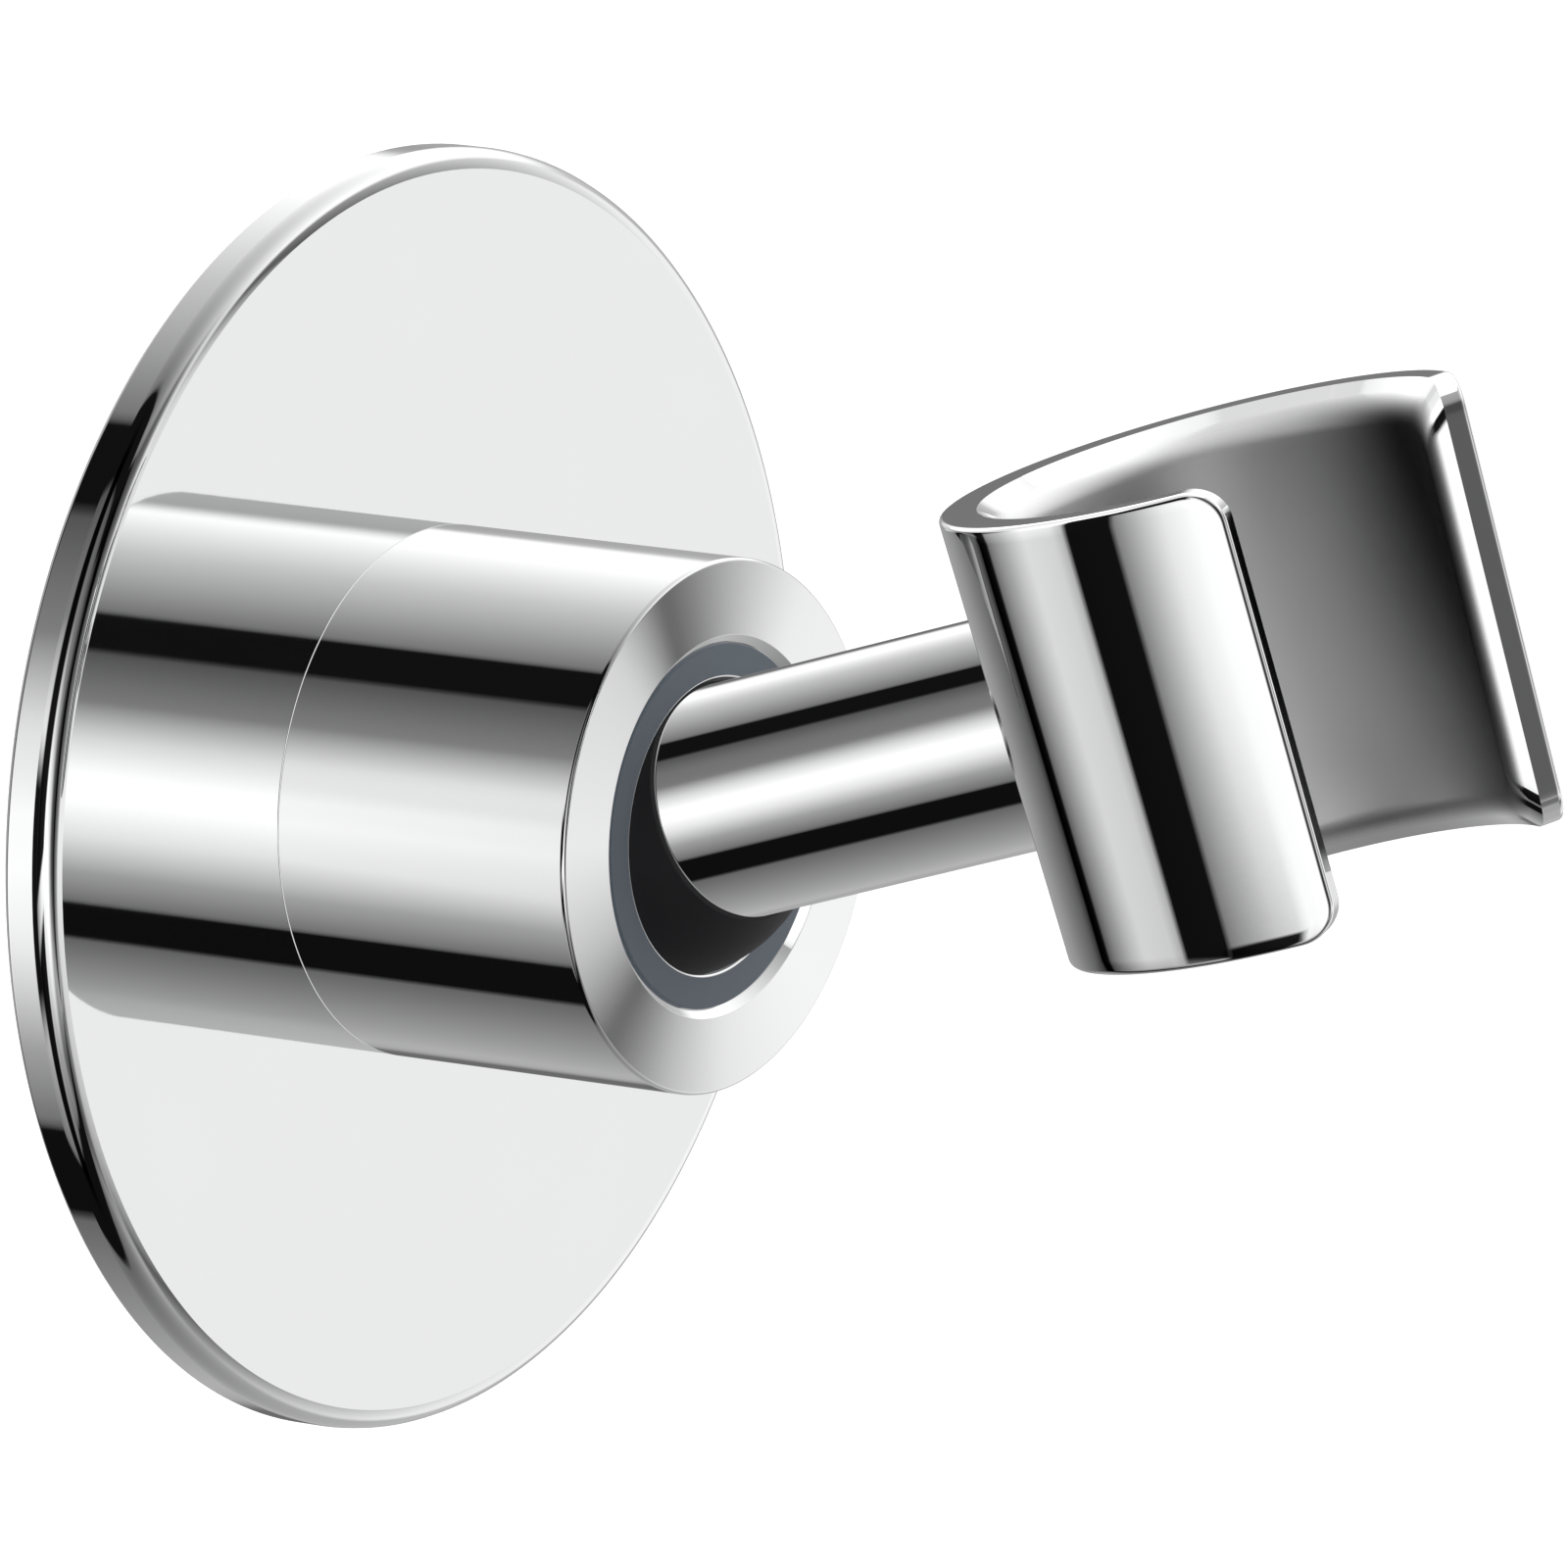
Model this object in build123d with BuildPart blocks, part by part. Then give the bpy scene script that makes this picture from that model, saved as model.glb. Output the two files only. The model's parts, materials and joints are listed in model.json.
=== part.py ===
from build123d import *
import os
from math import acos, cos, radians, sin, sqrt, tan

# A wall-mounted hand shower holder: a round plate, a barrel with a ball joint, and a C-shaped cradle.
# Sizes are in millimetres. The origin is the centre of the wall face, +X points out of the wall
# along the barrel and +Z is up. Angles are in degrees.

# Rest pose of the arm
lift_angle = 17.2
swing_angle = -7.0
roll_angle = 9.05

# Adhesive pad and wall plate
pad_thickness = 1.0
pad_margin = 3.0
plate_diameter = 74.2
plate_thickness = 3.45
plate_front_round = 0.8
plate_rear_chamfer = 0.5

# Rod, its shoulder on the ball and its spindle through the ball
rod_diameter = 13.5
rod_length = 25.9
rod_end_chamfer = 0.3
shoulder_stand_off = 1.9
spindle_diameter = 5.0
spindle_clearance = 0.05
spindle_overrun = 0.5

# Ball, seat ring and rear cup
pivot_depth = 4.2
ring_recess = 0.3
ring_hold = 0.68
ring_face_width = 1.95
ring_edge_chamfer = 0.15
ring_clearance = 0.08
ball_clearance = 0.05
stop_gap = 0.12
seat_gap = 1.2
cup_floor = 1.4
cup_clearance = 0.08

# Barrel and the plug that closes it
lip_width = 2.4
lip_thickness = 1.8
barrel_wall = 2.42
barrel_edge_chamfer = 0.3
barrel_base_chamfer = 0.15
opening_chamfer = 0.45
thread_step = 0.5
thread_clearance = 0.05
plug_thickness = 3.0
spanner_hole_diameter = 3.0
spanner_hole_depth = 1.8
spanner_hole_circle = 18.0

# Disc spring and thrust washer behind the cup
spring_height = 1.2
spring_sheet = 0.6
spring_hole_diameter = 12.0
spring_rim_gap = 0.8
spring_play = 0.02
thrust_washer_thickness = 0.8
thrust_washer_hole_diameter = 11.0
thrust_washer_rim_gap = 0.4

# Swivel washer, swivel spring and lock nut inside the back of the ball
nut_across_flats = 8.0
nut_height = 2.7
nut_sink = 0.55
pocket_gap = 0.7
swivel_washer_thickness = 0.8
swivel_washer_gap = 0.3
swivel_spring_height = 0.9
swivel_spring_sheet = 0.4

# Countersunk plate screw, from behind the plate into the plug
plate_screw_diameter = 6.0
plate_screw_head_diameter = 12.0
plate_screw_key = 4.0
plate_screw_key_depth = 2.0
plate_screw_sink = 0.1
plate_screw_end_gap = 0.4

# Countersunk cradle screw, from inside the socket into the rod
cradle_screw_diameter = 5.0
cradle_screw_head_diameter = 9.2
cradle_screw_key = 3.0
cradle_screw_key_depth = 1.6
cradle_screw_length = 14.0
cradle_screw_sink = 0.35
screw_clearance = 0.05
tapped_hole_spare = 1.5
countersink_angle = 90.0

# C-shaped cradle with a tapered socket
socket_top_diameter = 23.4
socket_taper = 1.16
socket_offset = 0.65
socket_edge_chamfer = 1.6
cradle_wall = 3.3
cradle_height = 25.9
cradle_lean = 4.75
cradle_edge_round = 0.3
mouth_half_angle = 47.85
jaw_face_angle = 67.0
jaw_corner_round = 2.1
cope_gap = 0.02

# Radii that follow from the rod's lean against the seat ring
max_tilt = acos(cos(radians(lift_angle)) * cos(radians(swing_angle)))
rod_radius = rod_diameter / 2
ring_bore_radius = (pivot_depth - ring_recess) * tan(max_tilt) + rod_radius / cos(max_tilt) + stop_gap
ball_radius = ring_bore_radius + ring_hold
seat_radius = ball_radius + ball_clearance
nose_radius = ring_bore_radius + ring_face_width
opening_radius = nose_radius + ring_clearance
bore_radius = opening_radius + lip_width
barrel_radius = bore_radius + barrel_wall
thread_radius = bore_radius + thread_step
plate_radius = plate_diameter / 2

# Places along the barrel, measured from the wall
plate_back = pad_thickness
plate_front = plate_back + plate_thickness
plug_front = plate_front + plug_thickness
washer_back = plug_front + spring_height
cup_back = washer_back + thrust_washer_thickness
pivot_x = cup_back + cup_floor + seat_radius
cup_front = pivot_x - seat_gap / 2
ring_back = pivot_x + seat_gap / 2
barrel_front = pivot_x + pivot_depth
lip_back = barrel_front - lip_thickness
ring_front = barrel_front - ring_recess

# Directions of the arm at rest: along the rod, and up through the cradle
pivot = Vector(pivot_x, 0, 0)
arm_out = Vector(1, 0, 0).rotate(Axis.Y, -lift_angle).rotate(Axis.Z, swing_angle)
arm_up = Vector(0, 0, 1).rotate(Axis.X, roll_angle).rotate(Axis.Y, -lift_angle).rotate(Axis.Z, swing_angle)
arm_plane = Plane(origin=pivot, x_dir=arm_out, z_dir=arm_out.cross(arm_up))
arm_axis = Axis(pivot, arm_out)

# Places along the rod, measured from the ball's centre
shoulder = pivot_depth + shoulder_stand_off
rod_end = shoulder + rod_length
spindle_radius = spindle_diameter / 2
spindle_bore_radius = spindle_radius + spindle_clearance
nut_corner_radius = nut_across_flats / sqrt(3)
nut_back = nut_sink - sqrt(ball_radius**2 - nut_corner_radius**2)
nut_front = nut_back + nut_height
swivel_washer_back = nut_front + swivel_spring_height
pocket_floor = swivel_washer_back + swivel_washer_thickness
pocket_radius = nut_corner_radius + pocket_gap
swivel_washer_radius = pocket_radius - swivel_washer_gap

# Cradle radii. The cradle leans forward on the rod, and the rod's length ends where its axis meets the cradle's back
socket_top_radius = socket_top_diameter / 2
socket_bottom_radius = (socket_top_diameter - socket_taper) / 2
cradle_top_radius = socket_top_radius + cradle_wall
cradle_bottom_radius = socket_bottom_radius + cradle_wall
half_height = cradle_height / 2
cradle_flare = (cradle_top_radius - cradle_bottom_radius) / cradle_height
lean = radians(cradle_lean)
back_share = cos(lean) + cradle_flare * sin(lean)
cradle_middle_radius = (cradle_top_radius + cradle_bottom_radius) / 2
socket_middle_radius = (socket_top_radius + socket_bottom_radius) / 2
cradle_reach = rod_end + cradle_middle_radius / back_share
socket_back = cradle_reach - (socket_middle_radius - socket_offset) / back_share
screw_head_place = socket_back - cradle_screw_sink
tapped_hole_end = screw_head_place - cradle_screw_length - tapped_hole_spare

cradle_centre = pivot + arm_out * cradle_reach
cradle_up = arm_up * cos(lean) + arm_out * sin(lean)
cradle_out = arm_out * cos(lean) - arm_up * sin(lean)
cradle_section = Plane(origin=cradle_centre, x_dir=cradle_out, z_dir=cradle_out.cross(cradle_up))
cradle_plan = Plane(origin=cradle_centre, x_dir=cradle_out, z_dir=cradle_up)
cradle_axis = Axis(cradle_centre, cradle_up)
socket_axis = Axis(cradle_centre + cradle_out * socket_offset, cradle_up)

# Wedge that opens the mouth: its sides meet the middle of the outer wall at the mouth's half angle
jaw_slope = tan(radians(jaw_face_angle))
half_mouth = radians(mouth_half_angle)
mouth_apex = cradle_middle_radius * (cos(half_mouth) - sin(half_mouth) / jaw_slope)
mouth_depth = 2 * cradle_top_radius - mouth_apex


def along_rod(distance):
    """Plane square to the rod, at a distance from the ball's centre and facing the cradle."""
    return Plane(origin=pivot + arm_out * distance, x_dir=arm_up, z_dir=arm_out)


def key_radius(across_flats):
    """Corner radius of a hexagon of the given width across its flats."""
    return across_flats / sqrt(3)


# Foam pad that sticks the plate to the wall
with BuildPart() as adhesive_pad:
    with BuildSketch(Plane.YZ):
        Circle(plate_radius - pad_margin)
    extrude(amount=pad_thickness)

# Round wall plate with a soft front edge, countersunk from behind
with BuildPart() as wall_plate:
    with BuildSketch(Plane.YZ.offset(plate_back)):
        Circle(plate_radius)
    extrude(amount=plate_thickness)
    fillet(wall_plate.faces().sort_by(Axis.X)[-1].edges(), plate_front_round)
    chamfer(wall_plate.faces().sort_by(Axis.X)[0].edges(), plate_rear_chamfer)
    with Locations(Plane(origin=(plate_back, 0, 0), z_dir=(-1, 0, 0))):
        CounterSinkHole(
            radius=plate_screw_diameter / 2 + screw_clearance,
            counter_sink_radius=plate_screw_head_diameter / 2 + plate_screw_sink + screw_clearance,
            counter_sink_angle=countersink_angle,
        )

# Screw that holds the plate to the barrel's plug
with BuildPart() as plate_screw:
    head_back = plate_back + plate_screw_sink
    head_radius = plate_screw_head_diameter / 2
    shank_radius = plate_screw_diameter / 2
    head_front = head_back + (head_radius - shank_radius) / tan(radians(countersink_angle / 2))
    screw_end = plug_front - plate_screw_end_gap
    with BuildSketch(Plane.XY):
        with BuildLine():
            Polyline(
                (head_back, 0),
                (head_back, head_radius),
                (head_front, shank_radius),
                (screw_end, shank_radius),
                (screw_end, 0),
                close=True,
            )
        make_face()
    revolve(axis=Axis.X)
    with BuildSketch(Plane.YZ.offset(head_back)):
        RegularPolygon(key_radius(plate_screw_key), side_count=6)
    extrude(amount=plate_screw_key_depth, mode=Mode.SUBTRACT)

# Threaded plug that closes the barrel and preloads the spring, with two holes for a pin spanner
with BuildPart() as base_plug:
    with BuildSketch(Plane.YZ.offset(plate_front)):
        Circle(thread_radius - thread_clearance)
        Circle(plate_screw_diameter / 2 + screw_clearance, mode=Mode.SUBTRACT)
    extrude(amount=plug_thickness)
    with BuildSketch(Plane.YZ.offset(plate_front)):
        with PolarLocations(spanner_hole_circle / 2, 2):
            Circle(spanner_hole_diameter / 2)
    extrude(amount=spanner_hole_depth, mode=Mode.SUBTRACT)

# Barrel: a sleeve with a front lip that holds the seat ring
with BuildPart() as barrel:
    with BuildSketch(Plane.XY):
        with BuildLine():
            Polyline(
                (plate_front, thread_radius),
                (plate_front, barrel_radius),
                (barrel_front, barrel_radius),
                (barrel_front, opening_radius),
                (lip_back, opening_radius),
                (lip_back, bore_radius),
                (plug_front, bore_radius),
                (plug_front, thread_radius),
                close=True,
            )
        make_face()
    revolve(axis=Axis.X)
    front_edges = barrel.edges().filter_by(GeomType.CIRCLE).group_by(Axis.X)[-1].sort_by(SortBy.RADIUS)
    base_edges = barrel.edges().filter_by(GeomType.CIRCLE).group_by(Axis.X)[0].sort_by(SortBy.RADIUS)
    chamfer(front_edges[0], opening_chamfer)
    chamfer(front_edges[-1], barrel_edge_chamfer)
    chamfer(base_edges[-1], barrel_base_chamfer)

# Seat ring: its nose shows inside the opening, and its bore stops the rod
with BuildPart() as seat_ring:
    flange_radius = bore_radius - ring_clearance
    with BuildSketch(Plane.XY):
        with BuildLine():
            Polyline(
                (ring_back, ring_bore_radius),
                (ring_back, flange_radius),
                (lip_back, flange_radius),
                (lip_back, nose_radius),
                (ring_front, nose_radius),
                (ring_front, ring_bore_radius),
                close=True,
            )
        make_face()
    revolve(axis=Axis.X)
    chamfer(seat_ring.faces().sort_by(Axis.X)[-1].edges(), ring_edge_chamfer)
    with Locations(pivot):
        Sphere(seat_radius, rotation=(0, 90, 0), mode=Mode.SUBTRACT)

# Disc spring between the plug and the thrust washer
with BuildPart() as disc_spring:
    spring_front = washer_back - spring_play
    spring_rim = bore_radius - spring_rim_gap
    spring_hole = spring_hole_diameter / 2
    with BuildSketch(Plane.XY):
        with BuildLine():
            Polyline(
                (plug_front, spring_rim),
                (plug_front + spring_sheet, spring_rim),
                (spring_front, spring_hole),
                (spring_front - spring_sheet, spring_hole),
                close=True,
            )
        make_face()
    revolve(axis=Axis.X)

# Thrust washer that spreads the spring's force over the cup
with BuildPart() as thrust_washer:
    with BuildSketch(Plane.YZ.offset(washer_back)):
        Circle(bore_radius - thrust_washer_rim_gap)
        Circle(thrust_washer_hole_diameter / 2, mode=Mode.SUBTRACT)
    extrude(amount=thrust_washer_thickness)

# Rear cup that presses the ball against the seat ring
with BuildPart() as rear_cup:
    with BuildSketch(Plane.YZ.offset(cup_back)):
        Circle(bore_radius - cup_clearance)
    extrude(amount=cup_front - cup_back)
    with Locations(pivot):
        Sphere(seat_radius, rotation=(0, 90, 0), mode=Mode.SUBTRACT)

# Ball with a flat for the rod's shoulder, a spindle bore and a pocket for the nut
with BuildPart() as ball:
    flat_radius = sqrt(ball_radius**2 - shoulder**2)
    pocket_mouth = -sqrt(ball_radius**2 - pocket_radius**2)
    with BuildSketch(arm_plane):
        with BuildLine():
            Polyline((shoulder, spindle_bore_radius), (shoulder, flat_radius))
            ThreePointArc((shoulder, flat_radius), (0, ball_radius), (pocket_mouth, pocket_radius))
            Polyline(
                (pocket_mouth, pocket_radius),
                (pocket_floor, pocket_radius),
                (pocket_floor, spindle_bore_radius),
                (shoulder, spindle_bore_radius),
            )
        make_face()
    revolve(axis=arm_axis)

# Rod with its spindle, its front end coped to the cradle and tapped for the cradle screw
with BuildPart() as rod:
    with BuildSketch(arm_plane):
        with BuildLine():
            Polyline(
                (nut_back - spindle_overrun, 0),
                (nut_back - spindle_overrun, spindle_radius),
                (shoulder, spindle_radius),
                (shoulder, rod_radius - rod_end_chamfer),
                (shoulder + rod_end_chamfer, rod_radius),
                (cradle_reach, rod_radius),
                (cradle_reach, 0),
                close=True,
            )
        make_face()
    revolve(axis=arm_axis)
    with BuildSketch(cradle_section):
        with BuildLine():
            Polyline(
                (0, -half_height),
                (cradle_bottom_radius + cope_gap, -half_height),
                (cradle_top_radius + cope_gap, half_height),
                (0, half_height),
                close=True,
            )
        make_face()
    revolve(axis=cradle_axis, mode=Mode.SUBTRACT)
    with BuildSketch(along_rod(tapped_hole_end)):
        Circle(cradle_screw_diameter / 2 + screw_clearance)
    extrude(amount=cradle_reach - tapped_hole_end, mode=Mode.SUBTRACT)

# Swivel washer on the floor of the ball's pocket
with BuildPart() as swivel_washer:
    with BuildSketch(along_rod(swivel_washer_back)):
        Circle(swivel_washer_radius)
        Circle(spindle_bore_radius, mode=Mode.SUBTRACT)
    extrude(amount=swivel_washer_thickness)

# Small disc spring that gives the swivel its friction
with BuildPart() as swivel_spring:
    with BuildSketch(arm_plane):
        with BuildLine():
            Polyline(
                (nut_front, spindle_bore_radius),
                (nut_front + swivel_spring_sheet, spindle_bore_radius),
                (swivel_washer_back, swivel_washer_radius),
                (swivel_washer_back - swivel_spring_sheet, swivel_washer_radius),
                close=True,
            )
        make_face()
    revolve(axis=arm_axis)

# Lock nut on the spindle's end
with BuildPart() as lock_nut:
    with BuildSketch(along_rod(nut_back)):
        RegularPolygon(nut_corner_radius, side_count=6)
        Circle(spindle_bore_radius, mode=Mode.SUBTRACT)
    extrude(amount=nut_height)

# Cradle: a tapered ring opened at the front by a wedge, with rounded jaws and a bevelled socket edge
with BuildPart() as cradle:
    with BuildSketch(cradle_section):
        with BuildLine():
            Polyline(
                (0, -half_height),
                (cradle_bottom_radius, -half_height),
                (cradle_top_radius, half_height),
                (0, half_height),
                close=True,
            )
        make_face()
    revolve(axis=cradle_axis)
    with BuildSketch(cradle_section):
        with BuildLine():
            Polyline(
                (socket_offset, -half_height),
                (socket_offset + socket_bottom_radius, -half_height),
                (socket_offset + socket_top_radius, half_height),
                (socket_offset, half_height),
                close=True,
            )
        make_face()
    revolve(axis=socket_axis, mode=Mode.SUBTRACT)
    with BuildSketch(cradle_plan):
        with BuildLine():
            Polyline(
                (mouth_apex, 0),
                (mouth_apex + mouth_depth, -mouth_depth * jaw_slope),
                (mouth_apex + mouth_depth, mouth_depth * jaw_slope),
                close=True,
            )
        make_face()
    extrude(amount=cradle_height, both=True, mode=Mode.SUBTRACT)
    jaw_ends = cradle.faces().filter_by(GeomType.PLANE).sort_by(SortBy.AREA)[:2]
    fillet(jaw_ends.edges().filter_by(GeomType.LINE), jaw_corner_round)
    walls = cradle.faces().filter_by(GeomType.CONE).sort_by(SortBy.AREA)
    chamfer(walls[0].edges(), socket_edge_chamfer)
    walls = cradle.faces().filter_by(GeomType.CONE).sort_by(SortBy.AREA)
    fillet(walls[-1].edges(), cradle_edge_round)
    with Locations(along_rod(screw_head_place)):
        CounterSinkHole(
            radius=cradle_screw_diameter / 2 + screw_clearance,
            counter_sink_radius=cradle_screw_head_diameter / 2 + screw_clearance,
            depth=cradle_reach - rod_end,
            counter_sink_angle=countersink_angle,
        )

# Screw that holds the cradle to the rod
with BuildPart() as cradle_screw:
    head_radius = cradle_screw_head_diameter / 2
    shank_radius = cradle_screw_diameter / 2
    neck = screw_head_place - (head_radius - shank_radius) / tan(radians(countersink_angle / 2))
    screw_tip = screw_head_place - cradle_screw_length
    with BuildSketch(arm_plane):
        with BuildLine():
            Polyline(
                (screw_head_place, 0),
                (screw_head_place, head_radius),
                (neck, shank_radius),
                (screw_tip, shank_radius),
                (screw_tip, 0),
                close=True,
            )
        make_face()
    revolve(axis=arm_axis)
    with BuildSketch(along_rod(screw_head_place)):
        RegularPolygon(key_radius(cradle_screw_key), side_count=6)
    extrude(amount=-cradle_screw_key_depth, mode=Mode.SUBTRACT)

pieces = {
    "adhesive_pad": adhesive_pad,
    "wall_plate": wall_plate,
    "plate_screw": plate_screw,
    "base_plug": base_plug,
    "barrel": barrel,
    "seat_ring": seat_ring,
    "disc_spring": disc_spring,
    "thrust_washer": thrust_washer,
    "rear_cup": rear_cup,
    "ball": ball,
    "rod": rod,
    "swivel_washer": swivel_washer,
    "swivel_spring": swivel_spring,
    "lock_nut": lock_nut,
    "cradle": cradle,
    "cradle_screw": cradle_screw,
}

os.makedirs("parts", exist_ok=True)
for name, piece in pieces.items():
    piece.part.label = name
    export_step(piece.part, f"parts/{name}.step")
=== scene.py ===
"""Hand shower holder: a plate, a barrel, a ball joint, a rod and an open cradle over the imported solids."""

import json
from math import acos, cos, pi, radians, sin, sqrt, tan

import bmesh
import bpy
import numpy as np
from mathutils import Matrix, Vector


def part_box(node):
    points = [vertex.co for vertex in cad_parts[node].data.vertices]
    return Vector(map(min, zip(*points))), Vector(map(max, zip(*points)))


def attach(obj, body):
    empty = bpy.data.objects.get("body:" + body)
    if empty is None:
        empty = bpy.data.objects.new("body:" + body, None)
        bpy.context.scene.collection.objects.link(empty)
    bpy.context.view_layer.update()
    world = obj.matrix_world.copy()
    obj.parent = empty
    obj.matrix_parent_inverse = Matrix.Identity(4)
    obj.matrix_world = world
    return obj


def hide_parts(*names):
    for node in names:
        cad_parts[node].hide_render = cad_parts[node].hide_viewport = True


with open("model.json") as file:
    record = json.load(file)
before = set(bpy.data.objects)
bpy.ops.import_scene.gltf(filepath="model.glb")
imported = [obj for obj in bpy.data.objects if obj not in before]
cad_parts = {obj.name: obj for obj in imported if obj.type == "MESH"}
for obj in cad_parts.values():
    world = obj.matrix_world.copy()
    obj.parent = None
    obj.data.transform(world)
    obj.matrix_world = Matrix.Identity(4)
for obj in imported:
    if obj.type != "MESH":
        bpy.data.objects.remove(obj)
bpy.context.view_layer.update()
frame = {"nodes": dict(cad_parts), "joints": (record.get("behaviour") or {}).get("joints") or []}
joints = {joint["name"]: joint for joint in frame["joints"]}

bl_info = {
    "name": "Hand Shower Holder",
    "version": (1, 0, 0),
    "blender": (4, 5, 0),
    "location": "View3D > Sidebar > Holder",
    "description": "Builds a chrome wall holder for a hand shower over its packed solids",
    "category": "Add Mesh",
}

plate_low, plate_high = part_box("wall_plate")
barrel_low, barrel_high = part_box("barrel")
ring_low, ring_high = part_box("seat_ring")
ball_centre = np.array(joints["arm_roll"]["pos_m"])
arm_out = np.array(joints["arm_roll"]["axis"])

# Steps round a turned piece, in a rounded corner and along a jaw's corner
TURN_STEPS = 240
ARC_STEPS = 7
JAW_STEPS = 14

# Columns along half a cradle wall, rows up it, and the angle over which its columns turn from the jaw's plane
# to spokes
WALL_STEPS = 84
HEIGHT_STEPS = 45
JAW_BLEND = radians(40)

# Steps across the cradle's outer edge, across the roll of its bevel into the wall and in to its screw hole
EDGE_STEPS = 6
ROLL_STEPS = 10
HOLE_STEPS = 4

# Size of the window in the wall round the screw hole, over the hole's, and of the inmost ring on the floor of
# the screw's key, over the key's
HOLE_WINDOW = 1.3
KEY_MIDDLE = 0.2

# Share of the socket's bevel that stays flat, share of its roll into the wall that lies on the bevel's width,
# rounding of the roll's corners as a share of the jaw's corner, and power by which the polish fades along it
BEVEL_FLAT = 0.4
BEVEL_ROLL = 0.7
BEVEL_CORNER = 0.9
POLISH_FADE = 3

# Angle from the mouth's edge over which the painted shade on the satin in the socket fades out, and how much
# darker the painted shade is at the top than at the bottom, as a share of that
PAINTED_SHADE_TURN = radians(88)
PAINTED_SHADE_TOP = 0.5

# Rounding of the plate's and the opening's chamfers as a share of them
PLATE_SOFT = 0.5
OPENING_SOFT = 0.25

# Length of the rod's first row over its rear chamfer, places of the rows along its shaft, rows across its
# coped end, radius of the inmost of these, and passes that find where the rod meets the cradle
ROOT_ROW = 4
SHAFT_ROWS = (0.5, 0.97, 1.0)
COPE_ROWS = 12
COPE_MIDDLE = 0.0002
COPE_PASSES = 8

# Width of the guard strip beside a rounded corner, which keeps the broad face next to it optically flat, and
# the shortest side that gets one
GUARD = 0.00002
GUARDED_SIDE = 6 * GUARD

# An edge sharper than this stays a crease
CREASE = radians(27)

# Finishes: shade of the darker patches, metal, spread of the roughness, scale of the patches, and strength
# and depth of the fine skin
PLATING = dict(shade=0.97, metal=1.0, spread=0.03, scale=90.0, bump=0.02, depth=0.00001)
TURNED_PLATING = dict(shade=0.98, metal=1.0, spread=0.04, scale=120.0, bump=0.03, depth=0.00001)
BALL_SKIN = dict(shade=0.85, metal=0.0, spread=0.08, scale=260.0, bump=0.06, depth=0.00002)
RING_SKIN = dict(roughness=0.42, shade=0.92, metal=0.0, spread=0.12, scale=300.0, bump=0.12, depth=0.00002)
STEEL_SKIN = dict(roughness=0.28, shade=0.88, metal=1.0, spread=0.14, scale=400.0, bump=0.1, depth=0.00002)
CUP_SKIN = dict(roughness=0.4, shade=0.94, metal=0.0, spread=0.1, scale=300.0, bump=0.1, depth=0.00002)
BRASS_SKIN = dict(roughness=0.26, shade=0.85, metal=1.0, spread=0.14, scale=350.0, bump=0.1, depth=0.00002)
FOAM_SKIN = dict(roughness=0.9, shade=0.72, metal=0.0, spread=0.1, scale=900.0, bump=0.7, depth=0.0002)
SATIN_HAZE = dict(scale=160.0, spread=0.1)

# Detail of the broad and the fine patches, and scale of the fine ones over that of the broad ones
BROAD_DETAIL = 3.0
FINE_DETAIL = 2.0
FINE_PATCHES = 14.0

# Half the floor's side
FLOOR_HALF = 6.0

# Brightness of the long flags by the angle about the X axis in degrees; the first two are the ramp's ends
LONG_FLAGS = (
    (0, 0.48), (360, 0.48), (14, 0.5), (21, 1.0), (40, 0.97), (72, 0.52), (105, 0.16), (106.5, 0.005),
    (123, 0.005), (125, 0.08), (146, 0.19), (162, 0.66), (178, 1.0), (188, 1.0), (204, 0.74), (222, 0.32),
    (237, 0.15), (239, 0.004), (258, 0.004), (260, 0.12), (325, 0.45),
)

# Brightness of the upright flags by the bearing
UPRIGHT_FLAGS = (
    (0, 1.0), (360, 1.0), (55, 0.87), (120, 0.8), (125, 0.75), (126.5, 0.28), (130, 0.28), (131.5, 0.7),
    (150, 0.55), (175, 0.22), (180, 0.19), (180.7, 0.006), (187, 0.006), (187.7, 0.24), (200, 0.5),
    (215, 0.97), (232, 1.0), (238.5, 0.6), (239.5, 0.006), (262.5, 0.006), (263.5, 0.23), (274, 0.5),
    (286, 0.84), (298, 1.0),
)

# Brightness left by the screen on the camera's side, by the bearing
SCREEN = (
    (0, 0.32), (360, 0.32), (12, 0.32), (24, 1.0), (258, 1.0), (264, 0.01), (296, 0.01), (301, 1.0),
    (324, 1.0), (338, 0.32),
)

# Brightness of the soft box outside its core, by the polar angle about its middle
BOX_FLAGS = (
    (0, 0.77), (360, 0.77), (33, 0.61), (51, 0.085), (98, 0.48), (137, 0.78), (208, 0.84), (248, 0.73),
    (285, 0.45), (320, 0.09), (340, 0.48),
)

# How far along X the long flags are level, their rise from there, and where and by what part of a turn the
# ends of the upper one turn in
FLAG_LEVEL = 0.56
FLAG_RISE = 0.94
FLAG_ENDS = (0.72, 0.82)
FLAG_ABOVE = (0.1, 0.3)
FLAG_TURN = 8.5 / 360

# Heights over which the upright flags fade in from below and fade out above
HORIZON_LOW = (-0.62, -0.45)
HORIZON_HIGH = (0.26, 0.08)

# Heights over which the screen and its wing end, and parts of a turn over which the wing starts and ends
SCREEN_TOP = (0.62, 0.5)
WING_TOP = (0.95, 0.85)
WING_START = (0.711, 0.728)
WING_END = (0.842, 0.831)

# The slit in the screen: its rise over a turn, its height at the turn's start, its half width and its end
SLIT_RISE = 1.53
SLIT_START = -1.43
SLIT_HALF = (0.1, 0.05)
SLIT_END = (0.917, 0.9)


def setting(kind, **limits):
    """Returns a maker of settings of one kind, which takes a title, a description and a default."""

    def make(title, text, default):
        return kind(name=title, description=text, default=default, **limits)

    return make


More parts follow.
